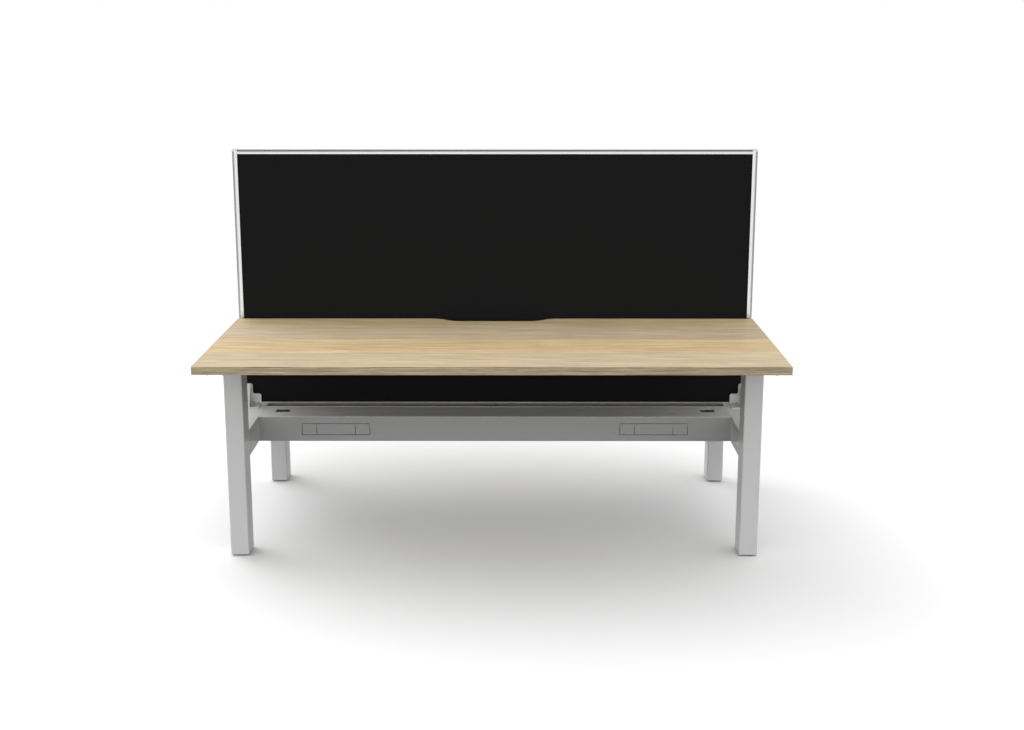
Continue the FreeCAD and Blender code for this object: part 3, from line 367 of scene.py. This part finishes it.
def woven():
    """Close plain weave in black: warp and weft cross over every thread."""
    made = material("black_screen_fabric", Specular_IOR_Level=CLOTH_SPECULAR, Sheen_Weight=CLOTH_SHEEN)
    axes = axes_of(made, object_place(made))
    turn = 2 * math.pi / THREAD_PITCH
    warp = math_node(made, "SINE", math_node(made, "MULTIPLY", axes["X"], turn))
    weft = math_node(made, "SINE", math_node(made, "MULTIPLY", axes["Z"], turn))
    weave = math_node(made, "MULTIPLY", warp, weft)
    slubs = grain(made, **SLUB_GRAIN)
    heather = math_node(made, "MULTIPLY", grain(made, **HEATHER_GRAIN), HEATHER_SHARE)
    tone = math_node(made, "ADD", between(made, weave, (-1.0, 1.0), (0.0, WEAVE_SHARE)), heather)
    base = ramp(made, tone, (0.0, CLOTH_DARK), (0.5, CLOTH_MIDDLE), (1.0, CLOTH_LIGHT))
    roughness = between(made, slubs, WIDE_NOISE, CLOTH_ROUGHNESS)
    return finished(made, base, roughness, math_node(made, "ADD", weave, slubs), **CLOTH_RELIEF)


def plastic(name, dark, light, roughness, metallic_share=0.0):
    """Moulded plastic with a fine spark texture, metallised by a share or not at all."""
    made = material(name, Metallic=metallic_share)
    sparks = grain(made, **SPARK_GRAIN)
    base = shaded(made, sparks, dark, light)
    spread = (roughness - SPARK_ROUGHNESS_SPREAD, roughness + SPARK_ROUGHNESS_SPREAD)
    return finished(made, base, between(made, sparks, WIDE_NOISE, spread), sparks, **SPARK_RELIEF)


def fibreboard():
    """Soft fibreboard, seen only where the cloth leaves it bare."""
    made = material("screen_board")
    fibres = grain(made, **BOARD_GRAIN)
    base = shaded(made, fibres, BOARD_DARK, BOARD_LIGHT)
    return finished(made, base, BOARD_ROUGHNESS, fibres, **BOARD_RELIEF)


# finishes on the nodes

FABRIC = woven()
UPRIGHT = anodised("anodised_upright", "Z")
MATERIALS = {
    "oak_laminate": oak_laminate(),
    "oak_edge_band": oak_edge_band(),
    "silver_powder_coat": powder_coat("silver_powder_coat", dark=0.66, light=0.73),
    "grey_powder_coat": powder_coat("grey_powder_coat", dark=0.39, light=0.47),
    "anodised_frame": anodised("anodised_rail", "X"),
    "screen_board": fibreboard(),
    "pale_cap_plastic": plastic(
        "pale_cap_plastic", dark=(0.80,) * 3, light=(0.88,) * 3, roughness=0.4, metallic_share=0.6,
    ),
    "black_plastic": plastic(
        "black_plastic", dark=(0.018,) * 3, light=(0.03,) * 3, roughness=0.55,
    ),
    # The feet's black plating is painted shade: it stands for the dark shadow in the gap under each
    # leg.
    "foot_steel": plated(
        "foot_steel", roughness=0.4, dark=(0.05, 0.05, 0.052), light=(0.09,) * 3,
    ),
    "plated_steel": plated(
        "plated_steel", roughness=0.32, dark=(0.44, 0.45, 0.47), light=(0.60,) * 3,
    ),
}
SLOTS = {entry["node"]: entry["material_slot"] for entry in frame["record"]["subparts"]}
for name, thing in frame["nodes"].items():
    finish = UPRIGHT if name.startswith("screen_post") else MATERIALS.get(SLOTS[name])
    if finish:
        for place in range(len(thing.material_slots)):
            thing.material_slots[place].material = finish


# screen fabrics

FABRIC_EDGE_ROUND = 0.0015
FABRIC_DIP_SHARE = 0.55
FABRIC_CROWN = 0.0008
FABRIC_CROWN_POWER = 4
FABRIC_THICK = 0.0006
FABRIC_COLUMNS = 90
FABRIC_ROWS = 44
THICKEN_INWARDS = -1


def grid_shares(count):
    """The grid's lines from 0 to 1, packed towards the edges, where the cloth turns in."""
    return [0.5 - 0.5 * math.cos(math.pi * (place / count)) for place in range(count + 1)]


def crown_share(share):
    """The share of the crown at a line of the grid: whole in the middle, and none at the edges."""
    return 1 - (2 * share - 1) ** FABRIC_CROWN_POWER


def stretched_fabric(name, node):
    """Cloth pulled over the core board: flat, a little crowned, and rounded in at its edges."""
    low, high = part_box(node)
    side = 1 if high[1] > 0 else -1
    inner = low[1] if side > 0 else high[1]
    wide = high[0] - low[0]
    depth = high[1] - low[1]
    tall = high[2] - low[2]
    middle = (low[2] + high[2]) / 2
    points = []
    for v in grid_shares(FABRIC_ROWS):
        for u in grid_shares(FABRIC_COLUMNS):
            x = (u - 0.5) * wide
            z = (v - 0.5) * tall
            gap = min(wide / 2 - abs(x), tall / 2 - abs(z))
            fall = max(0.0, 1 - gap / FABRIC_EDGE_ROUND)
            dip = (1 - math.sqrt(max(0.0, 1 - fall * fall))) * depth * FABRIC_DIP_SHARE
            crown = FABRIC_CROWN * crown_share(u) * crown_share(v)
            points.append((x, inner + side * (depth - dip + crown), middle + z))
    row_count = FABRIC_COLUMNS + 1
    faces = []
    for row in range(FABRIC_ROWS):
        for column in range(FABRIC_COLUMNS):
            corner = row * row_count + column
            ring = (corner, corner + 1, corner + 1 + row_count, corner + row_count)
            faces.append(ring[::-1] if side > 0 else ring)
    mesh = bpy.data.meshes.new(name)
    mesh.from_pydata(points, [], faces)
    for face in mesh.polygons:
        face.use_smooth = True
    mesh.materials.append(FABRIC)
    piece = bpy.data.objects.new(name, mesh)
    bpy.context.scene.collection.objects.link(piece)
    solid = piece.modifiers.new("thickness", "SOLIDIFY")
    solid.thickness = FABRIC_THICK
    solid.offset = THICKEN_INWARDS
    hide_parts(node)
    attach(piece, "frame")


stretched_fabric("fabric_front", "screen_fabric_front")
stretched_fabric("fabric_rear", "screen_fabric_rear")


# floor

FLOOR_RADIUS = 3.4
FLOOR_SIDES = 128
FLOOR_COLOUR = (0.9, 0.9, 0.9)
FLOOR_BOUNCE = (0.04, 0.04, 0.04)
FADE_START_SHARE = 0.55
FADE_END_SHARE = 0.98


def shader_mix(made, share, first, second):
    mixer = add(made, "ShaderNodeMixShader", Fac=share)
    feed(made, first.outputs[0], mixer.inputs[1])
    feed(made, second.outputs[0], mixer.inputs[2])
    return mixer


def floor():
    """A pale disc that takes the shadow near the object and fades to white at its rim.
    Only matt surfaces find it dark, so it throws hardly any light up at them."""
    made = bpy.data.materials.new("studio_floor")
    made.use_nodes = True
    made.node_tree.nodes.clear()
    dim = add(made, "ShaderNodeBsdfDiffuse", Color=FLOOR_BOUNCE)
    pale = add(made, "ShaderNodeBsdfDiffuse", Color=FLOOR_COLOUR)
    white = add(made, "ShaderNodeEmission", Color=WHITE, Strength=1.0)
    rays = add(made, "ShaderNodeLightPath").outputs
    looked_at = math_node(made, "MAXIMUM", rays["Is Camera Ray"], rays["Is Glossy Ray"])
    looked_at = math_node(made, "MAXIMUM", looked_at, rays["Is Transmission Ray"])
    reach = vector_node(made, "LENGTH", "Value", object_place(made))
    rim = between(made, reach, (FLOOR_RADIUS * FADE_START_SHARE, FLOOR_RADIUS * FADE_END_SHARE))
    near = shader_mix(made, looked_at, dim, pale)
    both = shader_mix(made, math_node(made, "MULTIPLY", rim, rays["Is Camera Ray"]), near, white)
    add(made, "ShaderNodeOutputMaterial", Surface=both.outputs[0])
    bpy.ops.mesh.primitive_circle_add(vertices=FLOOR_SIDES, radius=FLOOR_RADIUS, fill_type="NGON")
    disc = bpy.context.object
    disc.name = "studio_floor"
    disc.data.materials.append(made)


floor()


# light

# The spans are of a direction's X, Y or Z, each of which runs from -1 to 1.
SKY_TOP = 1.03
SKY_FRONT_RIM = 2.4
SKY_REAR_RIM = 1.05
SKY_RIM_SPAN = (0.05, 0.5)
SKY_BELOW = 0.1
HORIZON_SPAN = (-0.05, 0.05)
GLOW = 2.97
GLOW_WAY = (-0.61, 0.58, 0.54)
GLOW_TIGHTNESS = 9.5
GLOSS_WHITE = 1.0
GLOSS_OVERHEAD = 0.5
GLOSS_OVERHEAD_SPAN = (0.1, 0.45)
GLOSS_BEHIND = 0.27
GLOSS_BEHIND_SPAN = (-0.85, -0.35)
GLOSS_BESIDE = 0.35
GLOSS_BESIDE_SPAN = (0.22, 0.6)


def matt_light(sky, way):
    """Light for matt surfaces: even overhead, brighter low in front of the desks, with a glow
    high behind them on the left, and hardly any from below."""
    axes = axes_of(sky, way)
    rim = between(sky, axes["Y"], (-1.0, 1.0), (SKY_FRONT_RIM, SKY_REAR_RIM))
    above = between(sky, axes["Z"], SKY_RIM_SPAN, (rim, SKY_TOP))
    toward = math_node(sky, "MAXIMUM", vector_node(sky, "DOT_PRODUCT", "Value", way, GLOW_WAY), 0.0)
    glow = math_node(sky, "MULTIPLY", math_node(sky, "POWER", toward, GLOW_TIGHTNESS), GLOW)
    above = math_node(sky, "ADD", above, glow)
    return mixed(sky, "FLOAT", between(sky, axes["Z"], HORIZON_SPAN), SKY_BELOW, above)


def gloss_light(sky, way):
    """Light for gloss: white low in front of the desks, and dimmer behind them, overhead
    and to the sides."""
    axes = axes_of(sky, way)
    overhead = between(sky, axes["Z"], GLOSS_OVERHEAD_SPAN, (GLOSS_WHITE, GLOSS_OVERHEAD))
    behind = between(sky, axes["Y"], GLOSS_BEHIND_SPAN, (GLOSS_WHITE, GLOSS_BEHIND))
    sideways = math_node(sky, "ABSOLUTE", axes["X"])
    beside = between(sky, sideways, GLOSS_BESIDE_SPAN, (GLOSS_WHITE, GLOSS_BESIDE))
    return math_node(sky, "MULTIPLY", overhead, math_node(sky, "MINIMUM", behind, beside))


def world():
    """A soft studio that is white to the camera."""
    sky = bpy.data.worlds.new("studio")
    sky.use_nodes = True
    bpy.context.scene.world = sky
    way = add(sky, "ShaderNodeTexCoord").outputs["Generated"]
    rays = add(sky, "ShaderNodeLightPath").outputs
    strength = mixed(
        sky, "FLOAT", rays["Is Glossy Ray"], matt_light(sky, way), gloss_light(sky, way),
    )
    strength = mixed(sky, "FLOAT", rays["Is Camera Ray"], strength, 1.0)
    background = sky.node_tree.nodes["Background"]
    feed(sky, WHITE, background.inputs["Color"])
    feed(sky, strength, background.inputs["Strength"])


world()


# camera

CAMERA_PLACE = (0.07064, -4.9226, 1.6825)
CAMERA_PITCH = 12.98
CAMERA_YAW = 0.137
CAMERA_LENS = 50.10
SENSOR_WIDTH = 36
LEVEL_TILT = 90

eye = bpy.data.cameras.new("photo_view")
eye.lens = CAMERA_LENS
eye.sensor_width = SENSOR_WIDTH
camera = bpy.data.objects.new("photo_view", eye)
bpy.context.scene.collection.objects.link(camera)
camera.location = CAMERA_PLACE
camera.rotation_euler = (math.radians(LEVEL_TILT - CAMERA_PITCH), 0, math.radians(CAMERA_YAW))
bpy.context.scene.camera = camera
bpy.context.scene.view_settings.view_transform = "Standard"
